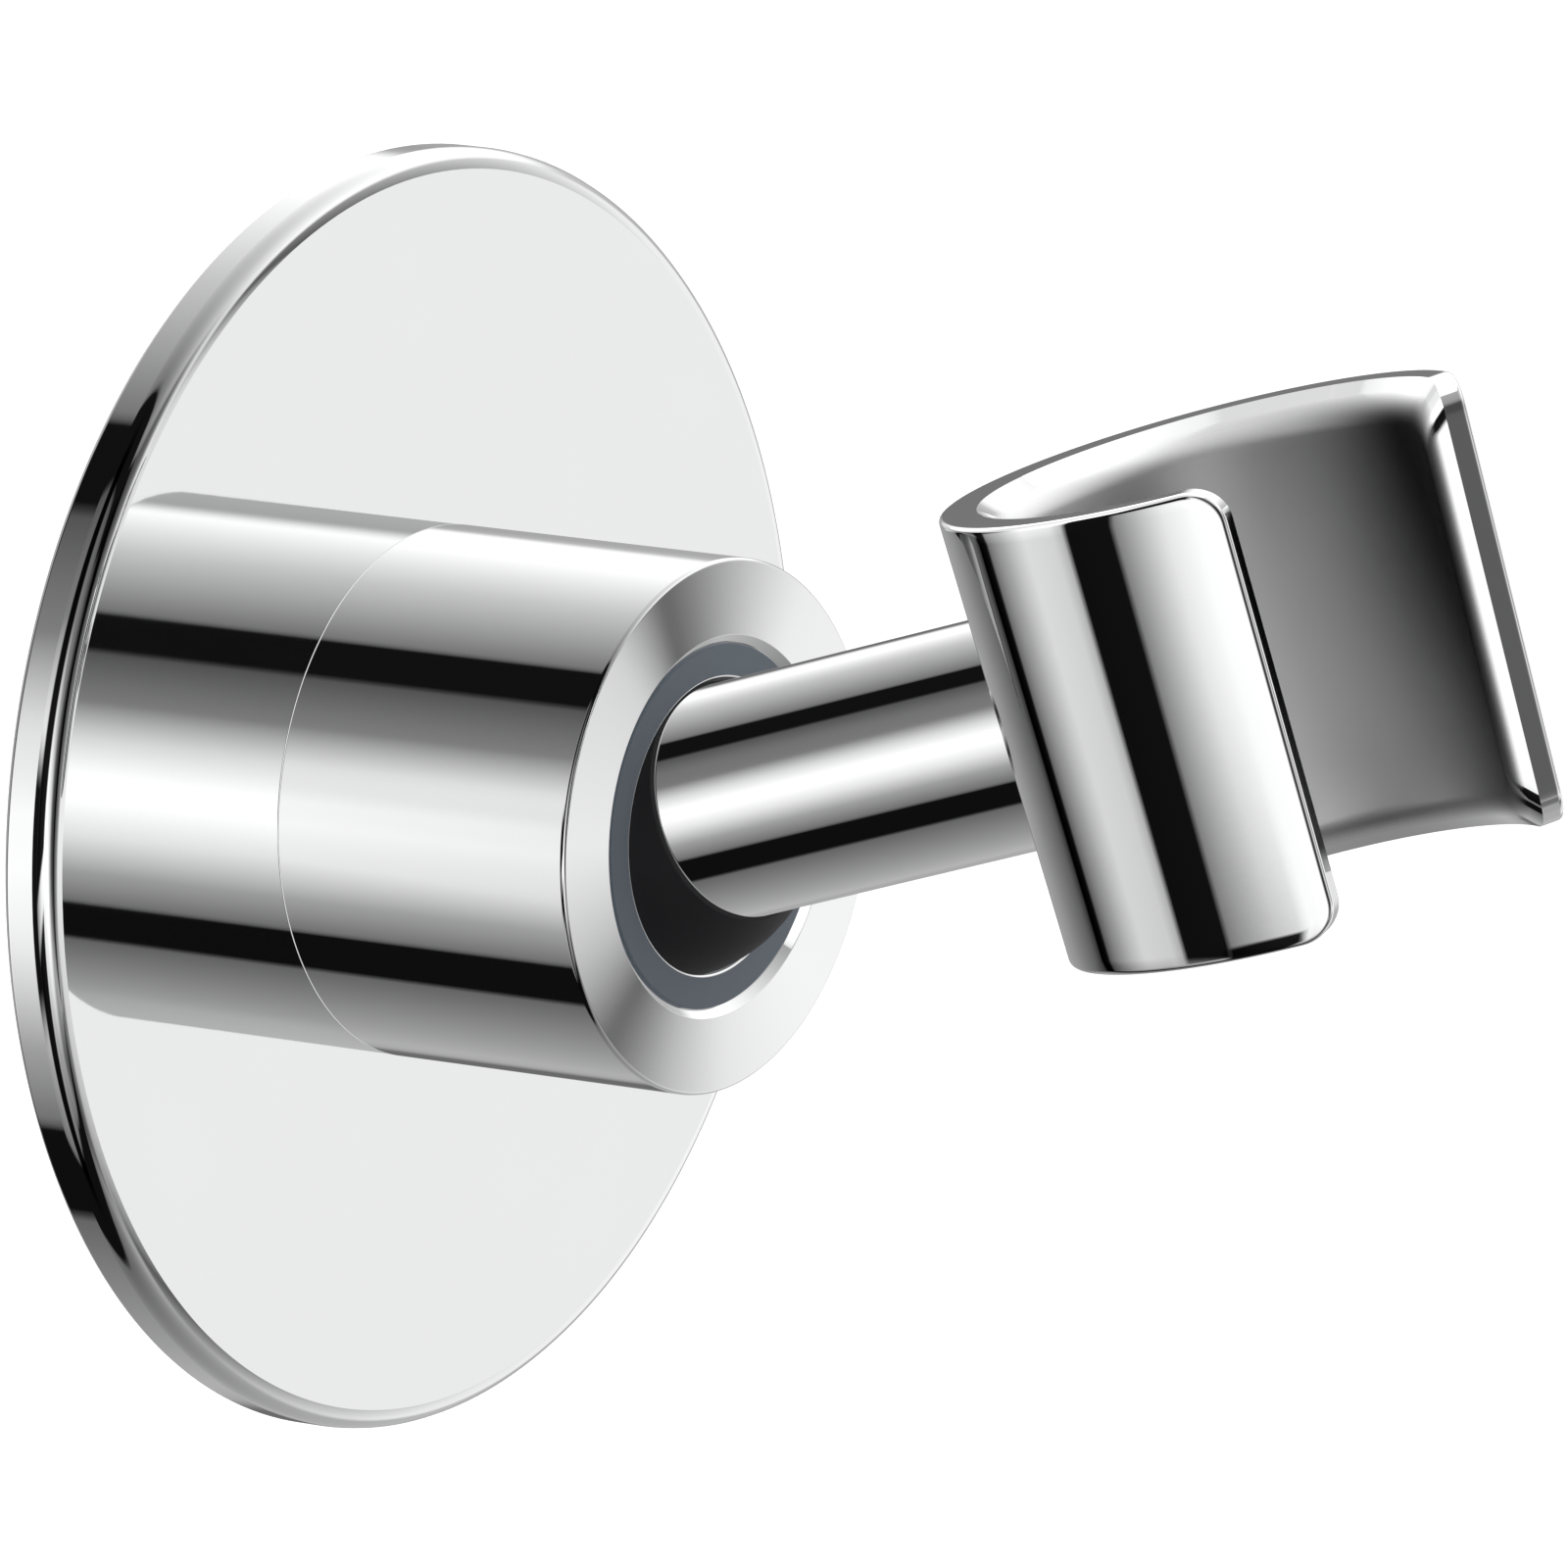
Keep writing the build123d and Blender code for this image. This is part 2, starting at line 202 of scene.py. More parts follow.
length = setting(bpy.props.FloatProperty, min=0.0, precision=5, unit="LENGTH")
share = setting(bpy.props.FloatProperty, min=0.0, max=1.0, subtype="FACTOR")
strength = setting(bpy.props.FloatProperty, min=0.0)
point = setting(bpy.props.FloatVectorProperty, subtype="XYZ")
direction = setting(bpy.props.FloatVectorProperty, subtype="DIRECTION")
tint = setting(bpy.props.FloatVectorProperty, min=0.0, max=1.0, size=3, subtype="COLOR")


def angle(title, text, default):
    """An angle, given in degrees and kept in radians."""
    return bpy.props.FloatProperty(name=title, description=text, default=radians(default), unit="ROTATION")


class HolderBase(bpy.types.PropertyGroup):
    """Sizes of the plate, the barrel and the ball joint."""

    plate_round: length("Plate front round", "Radius of the plate's front edge", 0.0012)
    plate_chamfer: length("Plate rear chamfer", "Chamfer of the plate's rear edge", 0.0005)
    plate_hole: length("Plate hole radius", "Radius of the hole for the plate's screw", 0.00305)
    plate_sink: length("Plate countersink radius", "Radius of the countersink at the plate's back", 0.00615)
    barrel_edge: length("Barrel edge round", "Radius of the barrel's front outer edge", 0.00028)
    barrel_base: length("Barrel base round", "Radius of the barrel's edge on the plate", 0.00006)
    barrel_bore: length("Barrel bore radius", "Radius of the barrel's bore", 0.01297625)
    barrel_thread: length("Barrel thread radius", "Radius of the thread for the plug", 0.01347625)
    plug_depth: length("Plug depth", "Length of the thread for the plug", 0.003)
    lip: length("Lip thickness", "Thickness of the barrel's front lip", 0.0018)
    opening: length("Opening radius", "Radius of the opening in the lip", 0.01057625)
    opening_edge: length("Opening chamfer", "Chamfer round the opening", 0.00045)
    nose: length("Ring nose radius", "Outer radius of the seat ring inside the opening", 0.01049625)
    ring_bore: length("Ring bore radius", "Radius of the ring's bore, which stops the rod", 0.00854625)
    ring_edge: length("Ring edge round", "Radius of the ring's front edges", 0.00015)
    seat: length("Seat radius", "Radius of the ring's seat for the ball", 0.00927625)
    ball: length("Ball radius", "Radius of the ball", 0.00922625)
    pocket: length("Nut pocket radius", "Radius of the pocket in the ball", 0.0053188)
    pocket_floor: length("Pocket floor", "Distance of the pocket's floor behind the ball's centre", 0.0030369)
    spindle_bore: length("Spindle bore radius", "Radius of the spindle's bore in the ball", 0.00255)


class HolderArm(bpy.types.PropertyGroup):
    """Sizes of the rod and the cradle."""

    shoulder: length("Shoulder", "Distance from the ball's centre to the rod's shoulder", 0.0061)
    rod: length("Rod radius", "Radius of the rod", 0.00675)
    rod_edge: length("Rod edge", "Chamfer of the rod's rear edge", 0.0003)
    spindle: length("Spindle radius", "Radius of the spindle", 0.0025)
    spindle_end: length("Spindle end", "Distance of the spindle's end behind the ball's centre", 0.0079369)
    reach: length("Cradle reach", "Distance from the ball's centre to the cradle's centre", 0.0467333)
    roll: angle("Cradle roll", "Turn of the cradle about the rod", 9.05)
    lean: angle("Cradle lean", "Lean of the cradle's axis towards its mouth", 4.75)
    top: length("Cradle top radius", "Outer radius of the cradle at its top", 0.0150)
    bottom: length("Cradle bottom radius", "Outer radius of the cradle at its bottom", 0.01442)
    height: length("Cradle height", "Height of the cradle", 0.0259)
    socket_top: length("Socket top radius", "Radius of the socket at its top", 0.0117)
    socket_bottom: length("Socket bottom radius", "Radius of the socket at its bottom", 0.01112)
    socket_shift: length("Socket shift", "Distance of the socket's axis in front of the cradle's", 0.00065)
    mouth: angle("Mouth half angle", "Angle from the mouth's middle to a jaw's end on the outer wall", 47.85)
    jaw_face: angle("Jaw face angle", "Angle of a jaw's end face to the mouth's middle plane", 67.0)
    jaw_corner: length("Jaw corner", "Radius of the jaws' corners, seen from the side", 0.0021)
    edge: length("Cradle edge", "Radius of the cradle's outer edges", 0.0003)
    bevel: length("Socket bevel", "Width of the socket's bevel on the end faces and rims", 0.0016)
    mouth_bevel: length("Mouth bevel", "Width of the socket's bevel on the wall beside the mouth", 0.0009)
    screw_head: length("Screw head radius", "Radius of the cradle screw's head", 0.0046)
    screw_shank: length("Screw shank radius", "Radius of the cradle screw's shank", 0.0025)
    screw_face: length("Screw face", "Distance from the ball's centre to the screw head's face", 0.0356063)
    screw_length: length("Screw length", "Length of the cradle screw", 0.014)
    screw_key: length("Screw key", "Width across the flats of the screw's key", 0.003)
    screw_key_depth: length("Screw key depth", "Depth of the screw's key", 0.0016)
    screw_room: length("Screw room", "Clearance round the screw's head", 0.00005)
    screw_edge: length("Screw head edge", "Rounding of the screw's head", 0.00015)
    screw_tip: length("Screw tip", "Chamfer of the screw's tip", 0.0005)


class HolderFinish(bpy.types.PropertyGroup):
    """Colours and gloss of the finishes."""

    chrome: tint("Chrome", "Colour of the polished plating", (0.955, 0.957, 0.96))
    chrome_gloss: share("Chrome roughness", "Roughness of the polished plating", 0.03)
    turned_gloss: share("Turned face roughness", "Roughness of the barrel's turned front face", 0.09)
    turned_tilt: angle("Turned face tilt", "Tilt of the fine rings on the barrel's turned front face", 8.0)
    satin: tint("Satin plating", "Colour of the plating at the back of the socket", (0.93, 0.93, 0.935))
    # Near-black colour mixed into the satin beside the mouth: painted shade, not the plating's own colour
    satin_painted_shade: tint("Satin at the mouth", "Colour of the plating beside the mouth", (0.008, 0.008, 0.0082))
    satin_gloss: share("Satin roughness", "Roughness of the plating inside the socket", 0.5)
    ring: tint("Seat ring", "Colour of the seat ring's plastic", (0.19, 0.235, 0.285))
    ball: tint("Ball", "Colour of the ball's plastic", (0.008, 0.0085, 0.0095))
    ball_gloss: share("Ball roughness", "Roughness of the ball's plastic", 0.3)
    cup: tint("Cup", "Colour of the rear cup's plastic", (0.55, 0.54, 0.50))
    steel: tint("Steel", "Colour of the springs, washers and screws", (0.56, 0.56, 0.57))
    brass: tint("Brass", "Colour of the barrel's plug", (0.72, 0.53, 0.26))
    foam: tint("Foam", "Colour of the adhesive pad", (0.62, 0.62, 0.60))


class HolderStage(bpy.types.PropertyGroup):
    """Place of the camera and strength of the studio light."""

    azimuth: angle("Camera azimuth", "Turn of the camera about the vertical", 34.44)
    elevation: angle("Camera elevation", "Rise of the camera above the horizon", 10.57)
    distance: length("Camera distance", "Distance from the camera to its target", 1.0)
    lens: strength("Lens", "Focal length in millimetres", 404.66)
    target: point("Camera target", "Point at the image's centre", (0.028745, 0.0, 0.00295))
    light: strength("Light", "Strength of the studio surround", 1.15)
    box_way: direction("Soft box direction", "Direction of the plate's soft box", (0.556, 0.811, -0.183))
    box_core: angle("Soft box core", "Angle from the soft box's middle to the edge of its even core", 4.5)
    box_flags: angle("Soft box flags", "Angle from the soft box's middle to the tips of its two flags", 8.0)
    box_edge: angle("Soft box edge", "Angle from the soft box's middle to where it starts to fade", 30.0)
    box_end: angle("Soft box end", "Angle from the soft box's middle to its outer edge", 42.0)
    box_light: share("Soft box light", "Brightness of the soft box", 0.76)
    rim_light: strength("Cradle light", "Strength of the broad light over the cradle", 1.84)
    rim_way: direction("Cradle light direction", "Direction of the broad light", (-0.539, -0.196, 0.819))
    rim_spread: angle("Cradle light spread", "Width of the broad light over the cradle", 124.0)
    floor_drop: length("Floor drop", "Depth of the floor below the object", 0.25)


def unit(vector):
    """The vector at length one."""
    return vector / np.linalg.norm(vector)


def arm_frame(arm):
    """Centre and axes of the cradle: out through the mouth, to the far side, and up its own axis.

    The up axis is the rod's level one, rolled about the rod and leaned towards the mouth.
    """
    level = unit(np.array([0.0, 0.0, 1.0]) - arm_out[2] * arm_out)
    rod_up = level * cos(arm.roll) - np.cross(level, arm_out) * sin(arm.roll)
    up = rod_up * cos(arm.lean) + arm_out * sin(arm.lean)
    out = arm_out * cos(arm.lean) - rod_up * sin(arm.lean)
    return ball_centre + arm.reach * arm_out, out, np.cross(up, out), up


def arc(centre, start, end):
    """Points of the shorter arc from start to end about the centre, at even angles."""
    first = np.asarray(start) - centre
    last = np.asarray(end) - centre
    sweep = np.arctan2(first[0] * last[1] - first[1] * last[0], first @ last)
    turn = np.linspace(0.0, sweep, ARC_STEPS)
    across = np.array([-first[1], first[0]])
    return np.asarray(centre) + np.outer(np.cos(turn), first) + np.outer(np.sin(turn), across)


def outline(corners, closed=True):
    """A profile through corners of (along, radius, rounding).

    A rounded corner becomes an arc that touches both its sides: its centre lies on the corner's bisector at
    rounding over the sine of the half angle. Each straight side then gets a guard point near both its ends.
    """
    spots = np.array([corner[:2] for corner in corners], float)
    runs = []
    for number, corner in enumerate(corners):
        spot = spots[number]
        inner = closed or 0 < number < len(corners) - 1
        if corner[2] == 0.0 or not inner:
            runs.append(spot[None])
            continue
        before = unit(spots[number - 1] - spot)
        after = unit(spots[(number + 1) % len(spots)] - spot)
        half = acos(np.clip(before @ after, -1.0, 1.0)) / 2
        centre = spot + unit(before + after) * corner[2] / sin(half)
        reach = corner[2] / tan(half)
        runs.append(arc(centre, spot + before * reach, spot + after * reach))
    return guarded(runs, closed)


def guarded(runs, closed):
    """Joins arcs and points in order, with a guard point near both ends of each straight side."""
    pieces = []
    for number, run in enumerate(runs):
        pieces.append(run)
        if not closed and number == len(runs) - 1:
            break
        start, end = run[-1], runs[(number + 1) % len(runs)][0]
        side = end - start
        if np.linalg.norm(side) > GUARDED_SIDE:
            step = unit(side) * GUARD
            pieces.append(np.array([start + step, end - step]))
    return np.concatenate(pieces)


def turned(along, radius, origin, axis):
    """Points along an axis and at a radius from it, one row per profile point and one column per step.

    Each is origin + along * axis + radius * (cos a * side + sin a * lift), with a going once round.
    """
    side = unit(np.cross(axis, [0.0, 1.0, 0.0]))
    lift = np.cross(axis, side)
    around = np.linspace(0.0, 2 * pi, TURN_STEPS, endpoint=False)
    spokes = np.outer(np.cos(around), side) + np.outer(np.sin(around), lift)
    along = np.broadcast_to(np.reshape(along, (len(radius), -1)), (len(radius), TURN_STEPS))
    radius = np.broadcast_to(np.reshape(radius, (len(radius), -1)), (len(radius), TURN_STEPS))
    return origin + along[..., None] * axis + radius[..., None] * spokes


def quads(number):
    """Four-cornered faces between neighbours in a grid of point numbers."""
    return np.stack([number[:-1, :-1], number[1:, :-1], number[1:, 1:], number[:-1, 1:]], -1)


def hoop(number):
    """Faces of a grid of point numbers whose rows are closed loops, as one list."""
    return quads(np.concatenate([number, number[:, :1]], axis=1)).reshape(-1, 4)


def fan(ring, pole):
    """Triangles from a closed ring of points to one pole."""
    return np.stack([ring, np.roll(ring, -1), np.full_like(ring, pole)], -1)


def make_piece(name, points, faces, finish, body, nodes, turned_uv=None):
    """Puts points and groups of faces into a smooth mesh with creases, on a body and in place of its nodes.

    finish is a material, or a list of materials and an array with each face's material number.
    """
    points = np.asarray(points, float).reshape(-1, 3)
    mesh = bpy.data.meshes.new(name)
    mesh.from_pydata(points.tolist(), [], [corner for group in faces for corner in group.tolist()])
    materials, numbers = finish if isinstance(finish, tuple) else ([finish], None)
    for material in materials:
        mesh.materials.append(material)
    if numbers is not None:
        mesh.polygons.foreach_set("material_index", numbers.astype(np.int32))
    if turned_uv is not None:
        mesh.uv_layers.new(name="turned").data.foreach_set("uv", turned_uv.ravel().astype(np.float32))
    work = bmesh.new()
    work.from_mesh(mesh)
    bmesh.ops.recalc_face_normals(work, faces=work.faces)
    work.to_mesh(mesh)
    work.free()
    mesh.shade_smooth()
    mesh.set_sharp_from_angle(angle=CREASE)
    mesh.validate()
    made = bpy.data.objects.new(name, mesh)
    bpy.context.scene.collection.objects.link(made)
    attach(made, body)
    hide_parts(*nodes)
    return made


def turned_piece(name, profile, origin, axis, finish, body, nodes):
    """A ring-shaped turned piece from a closed profile; its UV map runs round the axis and along the profile.

    finish is a material, or a list of materials and an array with their number for each side of the profile.
    """
    rows = len(profile)
    points = turned(profile[:, 0], profile[:, 1], np.asarray(origin), np.asarray(axis))
    row, column = np.meshgrid(np.arange(rows), np.arange(TURN_STEPS), indexing="ij")
    across = np.stack([column, column, column + 1, column + 1], -1) / TURN_STEPS
    down = np.stack([row, row + 1, row + 1, row], -1) / rows
    if isinstance(finish, tuple):
        finish = (finish[0], np.repeat(finish[1], TURN_STEPS))
    number = row * TURN_STEPS + column
    faces = [hoop(np.concatenate([number, number[:1]]))]
    return make_piece(name, points, faces, finish, body, nodes, np.stack([across, down], -1))


def capped_piece(name, along, radius, origin, axis, finish, body, nodes):
    """A solid turned piece from an open profile, closed by a pole on the axis at both ends."""
    grid = turned(along, radius, origin, axis)
    ends = np.array([grid[0].mean(0), grid[-1].mean(0)])
    points = np.concatenate([grid.reshape(-1, 3), ends])
    last = len(grid) * TURN_STEPS
    number = np.arange(last).reshape(-1, TURN_STEPS)
    faces = [hoop(number), fan(number[0, ::-1], last), fan(number[-1], last + 1)]
    return make_piece(name, points, faces, finish, body, nodes)


class Net:
    """A node tree with short ways to add nodes, whose inputs are other nodes' sockets or plain values."""

    def __init__(self, tree):
        self.nodes = tree.nodes
        self.links = tree.links

    def feed(self, entry, value):
        """Joins an input to another node's socket, or sets it to a plain value."""
        if isinstance(value, bpy.types.NodeSocket):
            self.links.new(value, entry)
        else:
            entry.default_value = value

    def add(self, kind, inputs=(), **settings):
        """A node of a kind, with its settings and with its inputs by name or number."""
        made = self.nodes.new(kind)
        for name, value in settings.items():
            setattr(made, name, value)
        for place, value in dict(inputs).items():
            self.feed(made.inputs[place], value)
        return made

    def math(self, kind, *values):
        """A math node on its values in order."""
        return self.add("ShaderNodeMath", enumerate(values), operation=kind).outputs[0]

    def vector(self, kind, inputs):
        """A vector math node, which gives a number where it is a product and a vector otherwise."""
        made = self.add("ShaderNodeVectorMath", inputs, operation=kind)
        return made.outputs["Value" if kind == "DOT_PRODUCT" else "Vector"]

    def mix(self, factor, first, second, blend="MIX"):
        """A mix of two colours."""
        inputs = {"Factor": factor, "A": first, "B": second}
        return self.add("ShaderNodeMix", inputs, data_type="RGBA", blend_type=blend).outputs["Result"]

    def fade(self, value, limits):
        """A smooth step of a value, from nought at the first limit to one at the second, in either order."""
        inputs = {"Value": value, "From Min": limits[0], "From Max": limits[1]}
        return self.add("ShaderNodeMapRange", inputs, interpolation_type="SMOOTHSTEP").outputs[0]

    def ramp(self, value, stops):
        """A ramp of greys over one turn: stops are (degrees, brightness), and the first two are its ends."""
        made = self.add("ShaderNodeValToRGB", {"Fac": value})
        line = made.color_ramp.elements
        for number, (degrees, grey) in enumerate(stops):
            stop = line[number] if number < 2 else line.new(degrees / 360)
            stop.position = degrees / 360
            stop.color = (grey, grey, grey, 1.0)
        return made.outputs["Color"]

    def haze(self, roughness, scale, spread):
        """The outputs of the shared haze for one finish."""
        values = {"Scale": scale, "Roughness": roughness, "Spread": spread}
        return self.add("ShaderNodeGroup", values, node_tree=haze_group()).outputs


def haze_group():
    """Cloudy variation of a finish: two scales of noise, as a mask, a roughness and a height."""
    group = bpy.data.node_groups.get("surface_haze")
    if group:
        return group
    group = bpy.data.node_groups.new("surface_haze", "ShaderNodeTree")
    titles = {"INPUT": ("Scale", "Roughness", "Spread"), "OUTPUT": ("Mask", "Roughness", "Height")}
    for way, names in titles.items():
        for title in names:
            group.interface.new_socket(name=title, in_out=way, socket_type="NodeSocketFloat")
    net = Net(group)
    entry = net.add("NodeGroupInput").outputs
    place = net.add("ShaderNodeTexCoord").outputs["Object"]
    noise = {"Vector": place, "Scale": entry["Scale"], "Detail": BROAD_DETAIL}
    broad = net.add("ShaderNodeTexNoise", noise).outputs["Fac"]
    finer = net.math("MULTIPLY", entry["Scale"], FINE_PATCHES)
    fine_noise = {"Vector": place, "Scale": finer, "Detail": FINE_DETAIL}
    fine = net.add("ShaderNodeTexNoise", fine_noise).outputs["Fac"]
    centred = net.math("SUBTRACT", broad, 0.5)
    change = net.math("MULTIPLY_ADD", centred, entry["Spread"], entry["Roughness"])
    net.add("NodeGroupOutput", {"Mask": broad, "Roughness": change, "Height": fine})
    return group


def finish_material(name, colour, roughness, shade, metal, spread, scale, bump, depth):
    """A finish whose colour drifts between two shades and whose gloss and skin follow the shared haze.

    shade is the darker colour's share of the lighter one; bump is the strength of the fine skin and depth its
    height in metres.
    """
    made = bpy.data.materials.get(name)
    if made:
        return made
    made = bpy.data.materials.new(name)
    made.use_nodes = True
    net = Net(made.node_tree)
    haze = net.haze(roughness, scale, spread)
    darker = (*[part * shade for part in colour], 1.0)
    skin = net.add("ShaderNodeBump", {"Strength": bump, "Distance": depth, "Height": haze["Height"]})
    surface = net.nodes["Principled BSDF"].inputs
    net.feed(surface["Metallic"], metal)
    net.feed(surface["Base Color"], net.mix(haze["Mask"], darker, (*colour, 1.0)))
    net.feed(surface["Roughness"], haze["Roughness"])
    net.feed(surface["Normal"], skin.outputs["Normal"])
    return made


def chrome(name="polished_chrome"):
    """Polished plating."""
    finish = bpy.context.scene.holder_finish
    return finish_material(name, finish.chrome, finish.chrome_gloss, **PLATING)


def let_through(made, from_behind):
    """Makes a finish clear in the reflections of other pieces, or only where it is met from behind."""
    net = Net(made.node_tree)
    surface = net.nodes["Principled BSDF"].outputs["BSDF"]
    clear = net.add("ShaderNodeBsdfTransparent").outputs["BSDF"]
    if from_behind:
        behind = net.add("ShaderNodeNewGeometry").outputs["Backfacing"]
        clear = net.add("ShaderNodeMixShader", {0: behind, 1: surface, 2: clear}).outputs[0]
    mirrored = net.add("ShaderNodeLightPath").outputs["Is Glossy Ray"]
    either = net.add("ShaderNodeMixShader", {0: mirrored, 1: surface, 2: clear}).outputs[0]
    net.feed(net.nodes["Material Output"].inputs["Surface"], either)
    return made


def turned_face():
    """Plating over a face that was finished on the lathe: its fine rings all tilt a little from the axis.

    The normal is cos(tilt) along X plus sin(tilt) along the spoke through the point.
    """
    finish = bpy.context.scene.holder_finish
    made = finish_material("turned_chrome", finish.chrome, finish.turned_gloss, **TURNED_PLATING)
    net = Net(made.node_tree)
    place = net.add("ShaderNodeTexCoord").outputs["Object"]
    flat = net.vector("MULTIPLY", {0: place, 1: (0.0, 1.0, 1.0)})
    spoke = net.vector("NORMALIZE", {0: flat})
    leant = net.vector("SCALE", {0: spoke, "Scale": sin(finish.turned_tilt)})
    normal = net.vector("ADD", {0: leant, 1: (cos(finish.turned_tilt), 0.0, 0.0)})
    net.feed(net.nodes["Bump"].inputs["Normal"], normal)
    return let_through(made, False)


def cradle_plating():
    """Polished plating outside and satin plating in the socket, which the polishing wheel doesn't reach.

    The piece's polish attribute mixes the colours and the glosses of the two, and its depth attribute darkens
    the satin with painted shade from the back of the socket to the mouth.
    """
    finish = bpy.context.scene.holder_finish
    made = chrome("cradle_plating")
    net = Net(made.node_tree)
    surface = net.nodes["Principled BSDF"].inputs
    bright = surface["Base Color"].links[0].from_socket
    glossy = surface["Roughness"].links[0].from_socket
    polish = net.add("ShaderNodeAttribute", attribute_name="polish").outputs["Fac"]
    depth = net.add("ShaderNodeAttribute", attribute_name="depth").outputs["Fac"]
    # Painted shade: the satin goes to near black towards the mouth and towards the top
    satin = net.mix(depth, (*finish.satin_painted_shade, 1.0), (*finish.satin, 1.0))
    haze = net.haze(finish.satin_gloss, **SATIN_HAZE)
    gloss = net.add("ShaderNodeMix", {"Factor": polish, "A": haze["Roughness"], "B": glossy})
    net.feed(surface["Base Color"], net.mix(polish, satin, bright))
    net.feed(surface["Roughness"], gloss.outputs["Result"])
    return made


def steel():
    """Plain steel of the springs, washers and screws."""
    return finish_material("bright_steel", bpy.context.scene.holder_finish.steel, **STEEL_SKIN)


class HOLDER_OT_plate(bpy.types.Operator):
    """Turn the wall plate, which the other pieces don't mirror"""

    bl_idname = "holder.plate"
    bl_label = "Wall Plate"

    def execute(self, context):
        base = context.scene.holder_base
        back, front, rim = plate_low.x, plate_high.x, plate_high.z
        corners = [
            (front, base.plate_hole, 0.0),
            (front, rim, base.plate_round),
            (back + base.plate_chamfer, rim, PLATE_SOFT * base.plate_chamfer),
            (back, rim - base.plate_chamfer, PLATE_SOFT * base.plate_chamfer),
            (back, base.plate_sink, 0.0),
            (back + base.plate_sink - base.plate_hole, base.plate_hole, 0.0),
        ]
        profile = outline(corners)
        made = turned_piece(
            "plate_shell", profile, (0, 0, 0), (1, 0, 0), chrome(), "housing", ["wall_plate"]
        )
        made.visible_glossy = False
        return {"FINISHED"}


class HOLDER_OT_barrel(bpy.types.Operator):
    """Turn the barrel with its front lip; the other pieces mirror only its outside"""

    bl_idname = "holder.barrel"
    bl_label = "Barrel"

    def execute(self, context):
        base = context.scene.holder_base
        back, front, rim = barrel_low.x, barrel_high.x, barrel_high.z
        plug = back + base.plug_depth
        lip_back = front - base.lip
        corners = [
            (back, base.barrel_thread, 0.0),
            (back, rim, base.barrel_base),
            (front, rim, base.barrel_edge),
            (front, base.opening + base.opening_edge, OPENING_SOFT * base.opening_edge),
            (front - base.opening_edge, base.opening, OPENING_SOFT * base.opening_edge),
            (lip_back, base.opening, 0.0),
            (lip_back, base.barrel_bore, 0.0),
            (plug, base.barrel_bore, 0.0),
            (plug, base.barrel_thread, 0.0),
        ]
        profile = outline(corners)
        following = np.roll(profile, -1, axis=0)
        on_front = np.minimum(profile[:, 0], following[:, 0]) > front - GUARD / 2
        outside = np.minimum(profile[:, 1], following[:, 1]) > rim - GUARD / 2
        bore = let_through(chrome("bore_chrome"), False)
        finish = (
            [bore, let_through(chrome("barrel_chrome"), True), turned_face()],
            np.where(on_front, 2, np.where(outside, 1, 0)),
        )
        turned_piece("barrel_shell", profile, (0, 0, 0), (1, 0, 0), finish, "housing", ["barrel"])
        return {"FINISHED"}


class HOLDER_OT_joint(bpy.types.Operator):
    """Turn the seat ring and the ball, which the other pieces don't mirror"""

    bl_idname = "holder.joint"
    bl_label = "Seat Ring and Ball"

    def execute(self, context):
        base = context.scene.holder_base
        arm = context.scene.holder_arm
        self.seat_ring(base)
        self.ball(base, arm)
        return {"FINISHED"}

    def seat_ring(self, base):
        """The ring's profile: front face, nose, flange and a seat that is an arc about the ball's centre.

        Its rounded inner edge is trimmed with bright plating.
        """
        back, front, flange = ring_low.x, ring_high.x, ring_high.z
        lip_back = barrel_high.x - base.lip
        middle = np.array([ball_centre[0], 0.0])
        mouth = (middle[0] + sqrt(base.seat**2 - base.ring_bore**2), base.ring_bore)
        tail = (back, sqrt(base.seat**2 - (back - middle[0]) ** 2))
        face = outline(
            [
                (*mouth, 0.0),
                (front, base.ring_bore, base.ring_edge),
                (front, base.nose, base.ring_edge),
                (lip_back, base.nose, 0.0),
                (lip_back, flange, 0.0),
                (back, flange, 0.0),
                (*tail, 0.0),
            ],
            closed=False,
        )
        profile = np.concatenate([face, arc(middle, tail, mouth)[1:-1]])
        trim = (profile[:, 0] > front - base.ring_edge) & (profile[:, 1] < base.ring_bore + base.ring_edge)
        plastic = finish_material("ring_plastic", bpy.context.scene.holder_finish.ring, **RING_SKIN)
        finish = ([plastic, chrome()], trim & np.roll(trim, -1))
        made = turned_piece(
            "seat_ring_shell", profile, (0, 0, 0), (1, 0, 0), finish, "housing", ["seat_ring"]
        )
        made.visible_glossy = False

    def ball(self, base, arm):
        """The ball's profile: a flat for the rod, a round, and a pocket and bore for the nut and spindle."""
        flat = (arm.shoulder, sqrt(base.ball**2 - arm.shoulder**2))
        crown = (0.0, base.ball)
        mouth = (-sqrt(base.ball**2 - base.pocket**2), base.pocket)
        middle = np.zeros(2)
        front = arc(middle, flat, crown)
        rear = arc(middle, crown, mouth)
        bore = outline(
            [
                (*mouth, 0.0),
                (-base.pocket_floor, base.pocket, 0.0),
                (-base.pocket_floor, base.spindle_bore, 0.0),
                (arm.shoulder, base.spindle_bore, 0.0),
                (*flat, 0.0),
            ],
            closed=False,
        )
        profile = np.concatenate([front, rear[1:-1], bore[:-1]])
        finish = bpy.context.scene.holder_finish
        plastic = finish_material("ball_plastic", finish.ball, finish.ball_gloss, **BALL_SKIN)
        made = turned_piece(
            "ball_shell", profile, ball_centre, arm_out, plastic, "ball", ["ball"]
        )
        made.visible_glossy = False


